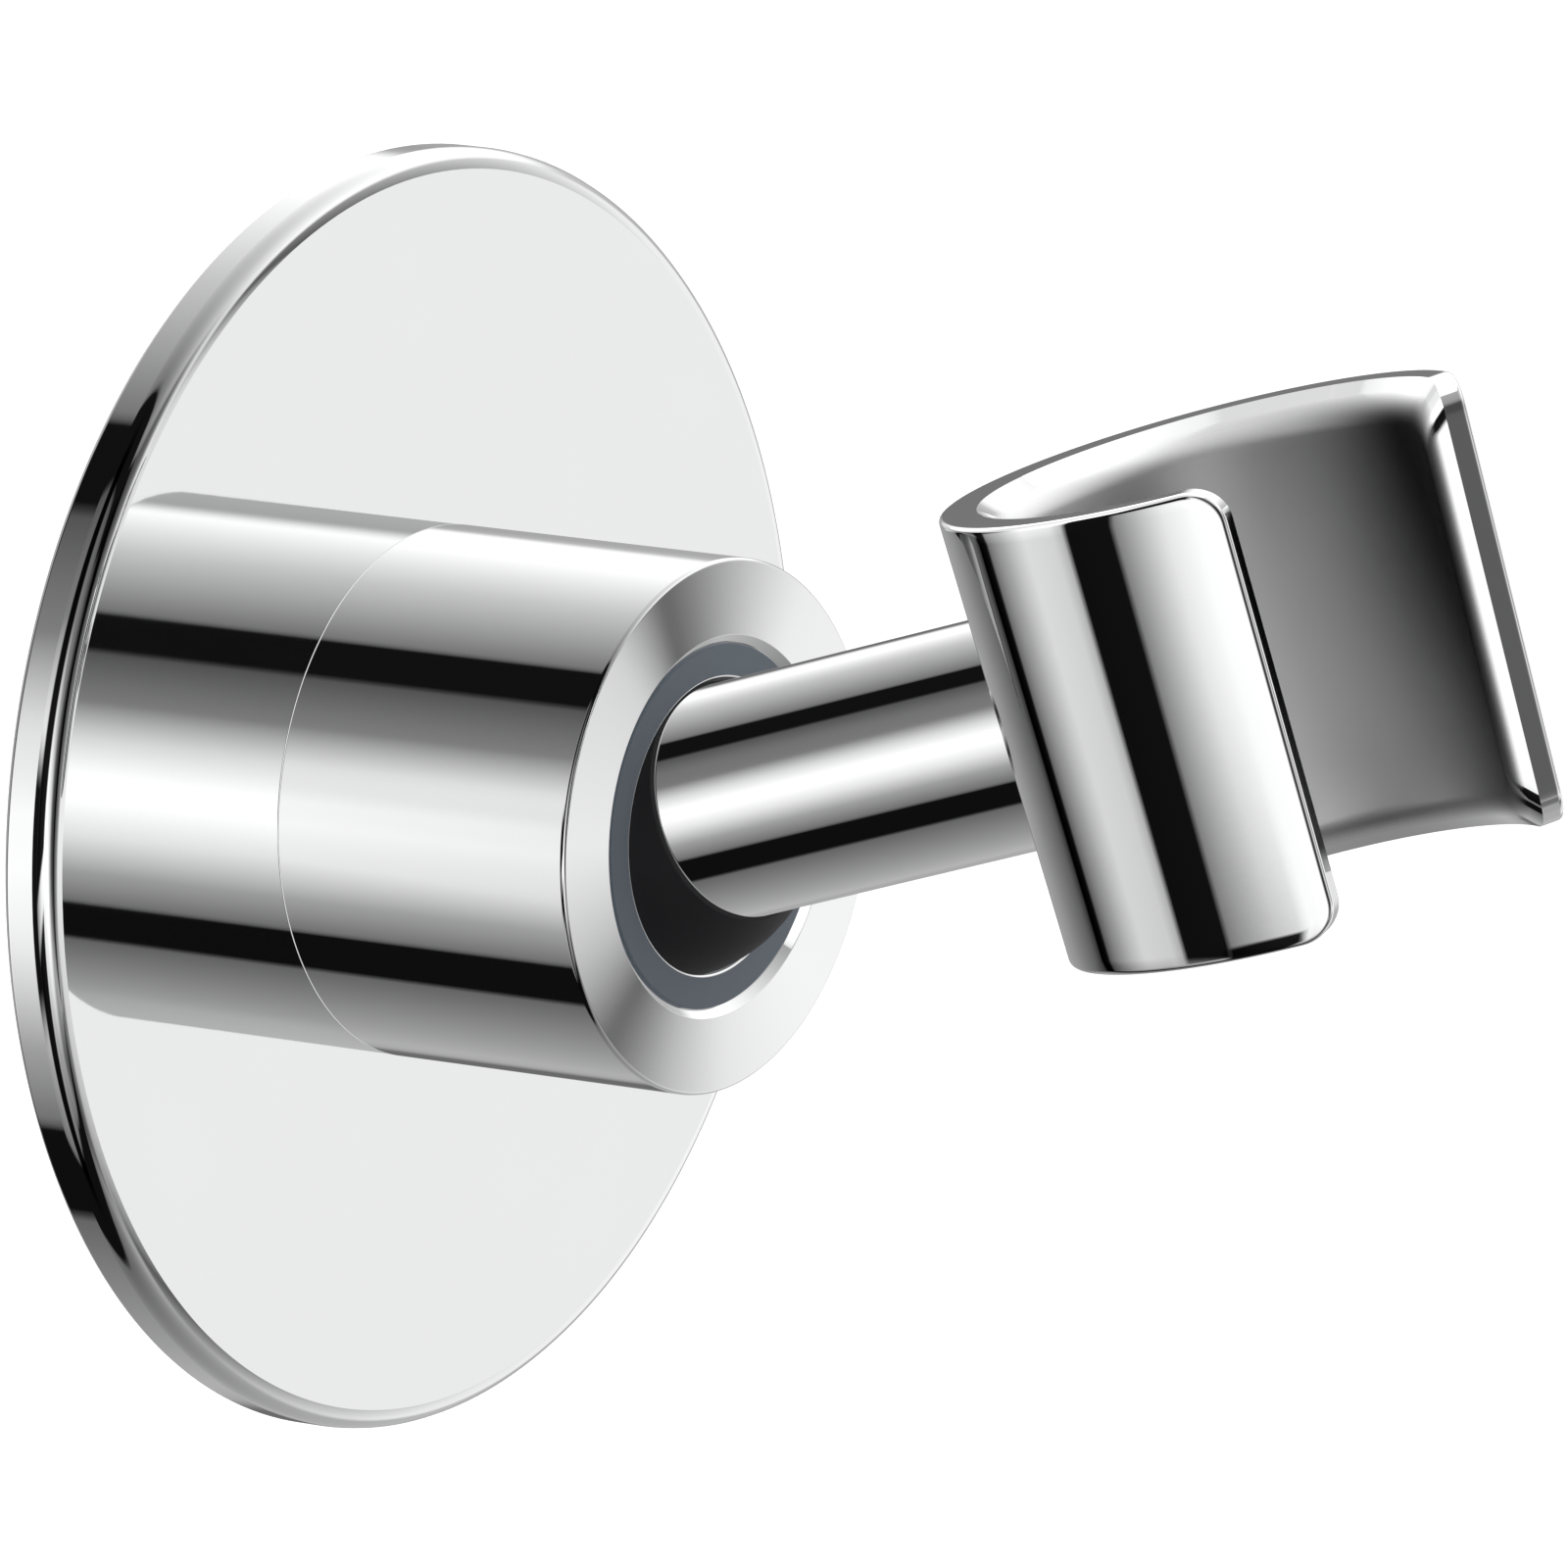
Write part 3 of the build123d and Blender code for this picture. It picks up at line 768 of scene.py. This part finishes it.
class HOLDER_OT_rod(bpy.types.Operator):
    """Turn the rod with its spindle and cope its end to the cradle; the other pieces don't mirror it"""

    bl_idname = "holder.rod"
    bl_label = "Rod"

    def execute(self, context):
        arm = context.scene.holder_arm
        root = outline(
            [
                (-arm.spindle_end, arm.spindle, 0.0),
                (arm.shoulder, arm.spindle, 0.0),
                (arm.shoulder, arm.rod, arm.rod_edge),
                (arm.shoulder + ROOT_ROW * arm.rod_edge, arm.rod, 0.0),
            ],
            closed=False,
        )
        start = root[-1, 0]
        seam = self.cope(arm, np.full(TURN_STEPS, arm.rod))
        shaft = start + np.array(SHAFT_ROWS)[:, None] * (seam - start)
        inner = np.linspace(arm.rod, COPE_MIDDLE, COPE_ROWS)[1:]
        face = np.array([self.cope(arm, np.full(TURN_STEPS, radius)) for radius in inner])
        tail = np.repeat(root[:, :1], TURN_STEPS, axis=1)
        along = np.concatenate([tail, shaft, face])
        radius = np.concatenate([root[:, 1], np.full(len(shaft), arm.rod), inner])
        made = capped_piece(
            "rod_shell", along, radius[:, None], ball_centre, arm_out, chrome(), "arm", ["rod"]
        )
        made.visible_glossy = False
        return {"FINISHED"}

    def cope(self, arm, radius):
        """Distance along the rod at which a line parallel to its axis meets the cradle's outer cone.

        Each pass moves the point along the line by what it still lacks to the cone's radius at its height.
        """
        centre, out, side, up = arm_frame(arm)
        distance = np.full(TURN_STEPS, arm.reach - arm.bottom)
        middle = (arm.top + arm.bottom) / 2
        slope = (arm.top - arm.bottom) / arm.height
        for _ in range(COPE_PASSES):
            spot = turned(distance[None], radius[None], ball_centre, arm_out)[0] - centre
            depth = spot @ out
            wide = np.hypot(depth, spot @ side)
            distance = distance + (wide - middle - slope * (spot @ up)) * wide / np.abs(depth)
        return distance


def wall_patch(arm, top, bottom, shift, inset, jaw_inset, corner):
    """One wall of the cradle as a grid: columns from jaw to jaw round the back, rows from bottom to top.

    The wall is a cone about an axis that is shifted towards the mouth. It ends an inset short of the top and
    bottom faces and a jaw inset short of the jaws' end faces.
    With f the angle of the jaws' end faces and d the distance from the axis to the line in which they would
    meet, a column near a jaw lies at one depth behind the end face, at the angle
    f - arcsin((d sin f - depth) / radius) about the axis. A column further back keeps one angle. Beside a jaw
    the rows close in along a quarter circle, which rounds the jaw's corners seen from the side.
    """
    middle = (top + bottom) / 2
    flare = (top - bottom) / arm.height
    rim = arm.height / 2 - inset
    apex = (arm.top + arm.bottom) / 2 * (cos(arm.mouth) - sin(arm.mouth) / tan(arm.jaw_face))
    reach = (apex - shift) * sin(arm.jaw_face)
    quarter = np.linspace(pi / 2, 0.0, JAW_STEPS)
    depth = jaw_inset * sqrt(1 - (reach / middle) ** 2) + corner * (1 - np.sin(quarter))
    jaw = arm.jaw_face - np.arcsin((reach - depth) / middle)
    back = np.linspace(jaw[-1], pi, WALL_STEPS)[1:]
    spoke = np.concatenate([jaw, back])[:, None]
    rims = np.concatenate([rim - corner + corner * np.cos(quarter), np.full(len(back), rim)])
    height = rims[:, None] * np.linspace(-1.0, 1.0, HEIGHT_STEPS)
    radius = middle + flare * height
    level = arm.jaw_face - np.arcsin(np.clip(middle * np.sin(arm.jaw_face - spoke) / radius, -1.0, 1.0))
    keep = np.clip(1.0 - (spoke - jaw[-1]) / JAW_BLEND, 0.0, 1.0)
    turn = keep * level + (1 - keep) * spoke
    near = np.stack([shift + radius * np.cos(turn), -radius * np.sin(turn), height], -1)
    far = near[-2::-1] * np.array([1.0, -1.0, 1.0])
    return np.concatenate([near, far])


def border(grid):
    """The grid's border as one loop: up the first jaw, along the top, down the other jaw and back below."""
    return np.concatenate([grid[0], grid[1:, -1], grid[-1, -2::-1], grid[-2:0:-1, 0]])


def curve(start, pull, end, steps):
    """Quadratic curve from start to end that leaves towards the pull point and arrives from it."""
    t = np.linspace(0.0, 1.0, steps)[:, None, None]
    return (1 - t) ** 2 * start + 2 * t * (1 - t) * pull + t**2 * end


def towards(start, end, distance):
    """Points at a distance from start on the way to end."""
    way = end - start
    return start + way * distance / np.linalg.norm(way, axis=-1, keepdims=True)


class HOLDER_OT_cradle(bpy.types.Operator):
    """Sweep the open cradle with its bevelled socket and countersunk hole, and turn its screw"""

    bl_idname = "holder.cradle"
    bl_label = "Cradle and Screw"

    def execute(self, context):
        arm = context.scene.holder_arm
        made = self.cradle(arm)
        self.screw(arm)
        self.light(context, made)
        return {"FINISHED"}

    def light(self, context, made):
        """A broad distant light over the back of the cradle, which shines on the cradle only."""
        stage = context.scene.holder_stage
        lamp = bpy.data.lights.new("cradle_light", "SUN")
        lamp.energy = stage.rim_light
        lamp.angle = stage.rim_spread
        hung = bpy.data.objects.new("cradle_light", lamp)
        hung.rotation_euler = Vector(stage.rim_way).to_track_quat("Z", "Y").to_euler()
        context.scene.collection.objects.link(hung)
        receivers = bpy.data.collections.new("cradle_light_receivers")
        receivers.objects.link(made)
        hung.light_linking.receiver_collection = receivers

    def cradle(self, arm):
        """The cradle: an outer wall, an edge strip all round and an inner wall, which share their borders.

        The strip's section is a small round on the outer edge, a flat end face and a bevel that starts at a
        crease, stays flat for part of its width and rolls into the inner wall.
        """
        outside = (arm.top, arm.bottom, 0.0)
        inside = (arm.socket_top, arm.socket_bottom, arm.socket_shift)
        roll_insets = (arm.bevel / BEVEL_ROLL, arm.mouth_bevel / BEVEL_ROLL)
        outer = wall_patch(arm, *outside, arm.edge, arm.edge, arm.jaw_corner - arm.edge)
        inner = wall_patch(arm, *inside, *roll_insets, BEVEL_CORNER * arm.jaw_corner)
        outer_edge = border(wall_patch(arm, *outside, 0.0, 0.0, arm.jaw_corner))
        inner_edge = border(wall_patch(arm, *inside, 0.0, 0.0, arm.jaw_corner))
        outer_loop, inner_loop = border(outer), border(inner)
        face_start = towards(outer_edge, inner_edge, arm.edge)
        crease = towards(inner_edge, outer_edge, arm.bevel)
        heel = inner_edge + BEVEL_ROLL * (inner_loop - inner_edge)
        flat_end = crease + BEVEL_FLAT * (heel - crease)
        rounding = curve(outer_loop, outer_edge, face_start, EDGE_STEPS)[1:-1]
        straight = np.array(
            [
                face_start, towards(face_start, crease, GUARD), towards(crease, face_start, GUARD),
                crease, towards(crease, flat_end, GUARD), towards(flat_end, crease, GUARD),
            ]
        )
        roll = curve(flat_end, heel, inner_loop, ROLL_STEPS)[:-1]
        strip = np.concatenate([rounding, straight, roll])
        columns, rows = outer.shape[:2]
        count = columns * rows
        loop = len(outer_loop)
        outer_number = np.arange(count).reshape(columns, rows)
        inner_number = count + outer_number
        strip_number = 2 * count + np.arange(len(strip) * loop).reshape(len(strip), loop)
        bands = np.concatenate([border(outer_number)[None], strip_number, border(inner_number)[None]])
        start = 2 * count + strip_number.size
        inner_faces, hole_points, hole_faces, hole_caps = self.hole(arm, inner, inner_number, start)
        local = np.concatenate([grid.reshape(-1, 3) for grid in (outer, inner, strip, hole_points)])
        centre, *axes = arm_frame(arm)
        points = centre + local @ np.array(axes)
        faces = [quads(outer_number).reshape(-1, 4), hoop(bands), inner_faces, hole_faces, hole_caps]
        made = make_piece("cradle_shell", points, faces, cradle_plating(), "arm", ["cradle"])
        along_roll = np.linspace(1.0, 0.0, len(roll) + 1)[:-1] ** POLISH_FADE
        on_strip = np.repeat(np.concatenate([np.ones(len(strip) - len(roll)), along_roll]), loop)
        polish = np.concatenate([np.ones(count), np.zeros(count), on_strip, np.zeros(len(hole_points))])
        self.polish_and_painted_shade(arm, made.data, local, polish)
        return made

    def polish_and_painted_shade(self, arm, mesh, local, polish):
        """The plating's attributes: polish, and depth, a smooth step from the mouth's edge to the back, which
        mixes painted shade into the satin.
        """
        turn = np.arctan2(np.abs(local[:, 1]), local[:, 0] - arm.socket_shift)
        # Painted shade mask: nought at the mouth's edge and lower towards the top
        inward = np.clip((turn - arm.mouth) / PAINTED_SHADE_TURN - PAINTED_SHADE_TOP * local[:, 2] / arm.height, 0.0, 1.0)
        for name, values in (("polish", polish), ("depth", inward**2 * (3 - 2 * inward))):
            layer = mesh.attributes.new(name, "FLOAT", "POINT")
            layer.data.foreach_set("value", values.astype(np.float32))

    def hole(self, arm, inner, number, start):
        """Faces of the inner wall with a window at its back, and the countersunk hole that fills the window.

        The window's border is drawn in to the hole's circle in even steps, each on the cone. The circle then
        goes straight down to the head's seat, in along the countersink and to a closed end under the head.
        """
        columns, rows = number.shape
        radius = arm.screw_head + arm.screw_room
        depth = arm.screw_face - arm.reach
        axis = np.array([cos(arm.lean), 0.0, sin(arm.lean)])
        lift = depth * axis[2]
        back, middle = columns // 2, rows // 2
        across = int(np.argmax(np.abs(inner[back:, middle, 1]) > HOLE_WINDOW * radius))
        above = int(np.argmax(inner[back, middle:, 2] > HOLE_WINDOW * radius))
        kept = np.ones((columns - 1, rows - 1), bool)
        kept[back - across : back + across, middle - above : middle + above] = False
        window = (slice(back - across, back + across + 1), slice(middle - above, middle + above + 1))
        frame_points, frame_number = border(inner[window]), border(number[window])
        turn = np.arctan2(frame_points[:, 2] - lift, frame_points[:, 1])
        circle = np.stack([radius * np.cos(turn), lift + radius * np.sin(turn)], -1)
        steps = np.linspace(0.0, 1.0, HOLE_STEPS + 1)[1:, None, None]
        spread = (1 - steps) * frame_points[:, 1:] + steps * circle
        flare = (arm.socket_top - arm.socket_bottom) / arm.height
        cone = (arm.socket_top + arm.socket_bottom) / 2 + flare * spread[..., 1]
        depths = arm.socket_shift - np.sqrt(cone**2 - spread[..., 0] ** 2)
        wall = np.concatenate([depths[..., None], spread], -1)
        spoke = np.stack([-axis[2] * np.sin(turn), np.cos(turn), axis[0] * np.sin(turn)], -1)
        sink = arm.screw_head - arm.screw_shank
        floor = axis * depth
        seat = [floor + spoke * radius, floor - axis * sink + spoke * (radius - sink)]
        points = np.concatenate([wall, np.array(seat)]).reshape(-1, 3)
        tip = floor - axis * sink
        levels = start + np.arange(len(points)).reshape(-1, len(turn))
        faces = hoop(np.concatenate([frame_number[None], levels]))
        caps = fan(levels[-1], start + len(points))
        return quads(number)[kept], np.concatenate([points, tip[None]]), faces, caps

    def screw(self, arm):
        """The cradle's screw: a countersunk head with a six-sided key, a shank and a chamfered tip.

        The key's radius is half its width over the cosine of the angle from the nearest flat's middle.
        """
        around = np.linspace(0.0, 2 * pi, TURN_STEPS, endpoint=False)
        flat = np.mod(around + pi / 6, pi / 3) - pi / 6
        key = arm.screw_key / 2 / np.cos(flat)
        face, head, shank = arm.screw_face, arm.screw_head, arm.screw_shank
        edge = arm.screw_edge
        neck = face - (head - shank)
        tip = face - arm.screw_length
        rows = [
            (face - arm.screw_key_depth, KEY_MIDDLE * key),
            (face - arm.screw_key_depth, key - GUARD),
            (face - arm.screw_key_depth, key),
            (face - GUARD, key),
            (face, key + GUARD),
            (face, head - 2 * edge),
            (face - edge / 2, head - edge / 2),
            (face - edge, head - edge),
            (neck, shank),
            (tip + arm.screw_tip, shank),
            (tip, shank - arm.screw_tip),
        ]
        along = np.array([row[0] for row in rows])[:, None]
        radius = np.array([np.broadcast_to(row[1], TURN_STEPS) for row in rows])
        nodes = ["cradle_screw"]
        capped_piece("screw_shell", along, radius, ball_centre, arm_out, steel(), "arm", nodes)


class HOLDER_OT_inside(bpy.types.Operator):
    """Give the parts inside and behind, which nothing mirrors, their finishes"""

    bl_idname = "holder.inside"
    bl_label = "Inner Parts"

    def execute(self, context):
        finish = context.scene.holder_finish
        finishes = {
            "adhesive_pad": finish_material("pad_foam", finish.foam, **FOAM_SKIN),
            "rear_cup": finish_material("cup_plastic", finish.cup, **CUP_SKIN),
            "base_plug": finish_material("plug_brass", finish.brass, **BRASS_SKIN),
        }
        steel_parts = (
            "plate_screw", "disc_spring", "thrust_washer", "swivel_washer", "swivel_spring", "lock_nut"
        )
        finishes.update(dict.fromkeys(steel_parts, steel()))
        for node, material in finishes.items():
            part = frame["nodes"][node]
            part.visible_glossy = False
            part.data.materials.clear()
            part.data.materials.append(material)
        return {"FINISHED"}


class HOLDER_OT_stage(bpy.types.Operator):
    """Set the camera, the floor and the studio surround with its soft boxes and black flags"""

    bl_idname = "holder.stage"
    bl_label = "Stage"

    def execute(self, context):
        stage = context.scene.holder_stage
        self.camera(context, stage)
        self.floor(context, stage)
        self.surround(context, stage)
        context.scene.view_settings.view_transform = "Standard"
        return {"FINISHED"}

    def camera(self, context, stage):
        """A long lens on the photograph's line of sight."""
        lens = bpy.data.cameras.new("camera")
        lens.lens = stage.lens
        lens.sensor_width = 36.0
        lens.clip_start = 0.01
        made = bpy.data.objects.new("camera", lens)
        context.scene.collection.objects.link(made)
        back = Vector(
            (
                sin(stage.azimuth) * cos(stage.elevation),
                -cos(stage.azimuth) * cos(stage.elevation),
                sin(stage.elevation),
            )
        )
        made.location = Vector(stage.target) + back * stage.distance
        made.rotation_euler = back.to_track_quat("Z", "Y").to_euler()
        context.scene.camera = made

    def floor(self, context, stage):
        """A plain pale floor well below the object, which the polished parts don't mirror."""
        ways = ((-1, -1), (1, -1), (1, 1), (-1, 1))
        corners = [(FLOOR_HALF * x, FLOOR_HALF * y, -stage.floor_drop) for x, y in ways]
        mesh = bpy.data.meshes.new("floor")
        mesh.from_pydata(corners, [], [(0, 1, 2, 3)])
        pale = bpy.data.materials.new("pale_floor")
        pale.use_nodes = True
        surface = pale.node_tree.nodes["Principled BSDF"]
        surface.inputs["Base Color"].default_value = (0.9, 0.9, 0.9, 1.0)
        surface.inputs["Roughness"].default_value = 0.9
        surface.inputs["Emission Color"].default_value = (1.0, 1.0, 1.0, 1.0)
        surface.inputs["Emission Strength"].default_value = 0.8
        mesh.materials.append(pale)
        made = bpy.data.objects.new("floor", mesh)
        context.scene.collection.objects.link(made)
        made.visible_glossy = False
        made.visible_diffuse = False

    def surround(self, context, stage):
        """A white surround with soft boxes and black flags.

        The long flags lie above and below the object, parallel to the barrel, so brightness follows the angle
        about the X axis; the upper one turns in a little at its ends. Upright flags stand at the horizon, so
        near it brightness also follows the bearing. A dark screen with one taller wing stands on the camera's
        side, with a slanting slit that stays bright.
        """
        world = bpy.data.worlds.new("studio")
        world.use_nodes = True
        context.scene.world = world
        net = Net(world.node_tree)
        way = net.add("ShaderNodeTexCoord").outputs["Generated"]
        x, y, z = net.add("ShaderNodeSeparateXYZ", {0: way}).outputs[:3]
        along = net.math("ABSOLUTE", x)
        beside = net.math("MAXIMUM", net.math("SUBTRACT", along, FLAG_LEVEL), 0.0)
        raised = net.math("MULTIPLY_ADD", beside, FLAG_RISE, z)
        turned_in = net.math("MULTIPLY", net.fade(along, FLAG_ENDS), net.fade(z, FLAG_ABOVE))
        about = net.math("MULTIPLY_ADD", turned_in, FLAG_TURN, self.part_turn(net, raised, y))
        long_flags = net.ramp(net.math("FRACT", about), LONG_FLAGS)
        turn = net.math("FRACT", self.part_turn(net, y, x))
        near_horizon = net.math("MULTIPLY", net.fade(z, HORIZON_LOW), net.fade(z, HORIZON_HIGH))
        flags = net.mix(near_horizon, long_flags, net.ramp(turn, UPRIGHT_FLAGS), "MULTIPLY")
        from_slit = net.math("SUBTRACT", z, net.math("MULTIPLY_ADD", turn, SLIT_RISE, SLIT_START))
        slit = net.fade(net.math("ABSOLUTE", from_slit), SLIT_HALF)
        opened = net.math("MULTIPLY", slit, net.fade(turn, SLIT_END))
        steep = net.math("ABSOLUTE", z)
        wing = net.math("MULTIPLY", net.fade(turn, WING_START), net.fade(turn, WING_END))
        winged = net.math("MULTIPLY", wing, net.fade(steep, WING_TOP))
        tall = net.math("MAXIMUM", net.fade(steep, SCREEN_TOP), winged)
        shut = net.math("MULTIPLY", tall, net.math("SUBTRACT", 1.0, opened))
        screened = net.mix(shut, flags, net.ramp(turn, SCREEN), "MULTIPLY")
        light = net.nodes["Background"].inputs
        net.feed(light["Color"], self.soft_box(net, stage, way, screened))
        net.feed(light["Strength"], stage.light)

    def part_turn(self, net, rise, run):
        """The angle whose tangent is rise over run, as a part of a turn."""
        return net.math("DIVIDE", net.math("ARCTAN2", rise, run), 2 * pi)

    def soft_box(self, net, stage, way, around):
        """The soft box in front of the plate: an even core, and two dark flags that reach in from its rim.

        Outside the core its brightness follows the polar angle about its middle, from the horizontal on the
        side of the X axis.
        """
        middle = unit(np.array(stage.box_way))
        level = unit(np.array([middle[1], -middle[0], 0.0]))
        rise = np.cross(level, middle) * np.sign(np.cross(level, middle)[2])
        inward, sideways, upwards = [
            net.vector("DOT_PRODUCT", {0: way, 1: axis}) for axis in (middle, level, rise)
        ]
        off = net.math("ARCCOSINE", inward)
        flagged = net.ramp(net.math("FRACT", self.part_turn(net, upwards, sideways)), BOX_FLAGS)
        even = (stage.box_light, stage.box_light, stage.box_light, 1.0)
        core = net.mix(net.fade(off, (stage.box_core, stage.box_flags)), even, flagged)
        return net.mix(net.fade(off, (stage.box_end, stage.box_edge)), around, core)


class HOLDER_PT_panel(bpy.types.Panel):
    """Steps and sizes of the hand shower holder"""

    bl_idname = "HOLDER_PT_panel"
    bl_label = "Hand Shower Holder"
    bl_space_type = "VIEW_3D"
    bl_region_type = "UI"
    bl_category = "Holder"

    def draw(self, context):
        for step in STEPS:
            self.layout.operator(step.bl_idname)
        for group in GROUPS:
            settings = getattr(context.scene, group)
            column = self.layout.column(align=True)
            for key in settings.bl_rna.properties.keys():
                if key not in ("rna_type", "name"):
                    column.prop(settings, key)


GROUPS = {
    "holder_base": HolderBase,
    "holder_arm": HolderArm,
    "holder_finish": HolderFinish,
    "holder_stage": HolderStage,
}
STEPS = (
    HOLDER_OT_stage,
    HOLDER_OT_plate,
    HOLDER_OT_barrel,
    HOLDER_OT_joint,
    HOLDER_OT_rod,
    HOLDER_OT_cradle,
    HOLDER_OT_inside,
)


def register():
    for group, kind in GROUPS.items():
        bpy.utils.register_class(kind)
        setattr(bpy.types.Scene, group, bpy.props.PointerProperty(type=kind))
    for kind in (*STEPS, HOLDER_PT_panel):
        bpy.utils.register_class(kind)


def unregister():
    for kind in reversed((*STEPS, HOLDER_PT_panel)):
        bpy.utils.unregister_class(kind)
    for group, kind in GROUPS.items():
        delattr(bpy.types.Scene, group)
        bpy.utils.unregister_class(kind)


def main():
    register()
    bpy.ops.holder.stage()
    bpy.ops.holder.plate()
    bpy.ops.holder.barrel()
    bpy.ops.holder.joint()
    bpy.ops.holder.rod()
    bpy.ops.holder.cradle()
    bpy.ops.holder.inside()


if __name__ == "__main__":
    main()
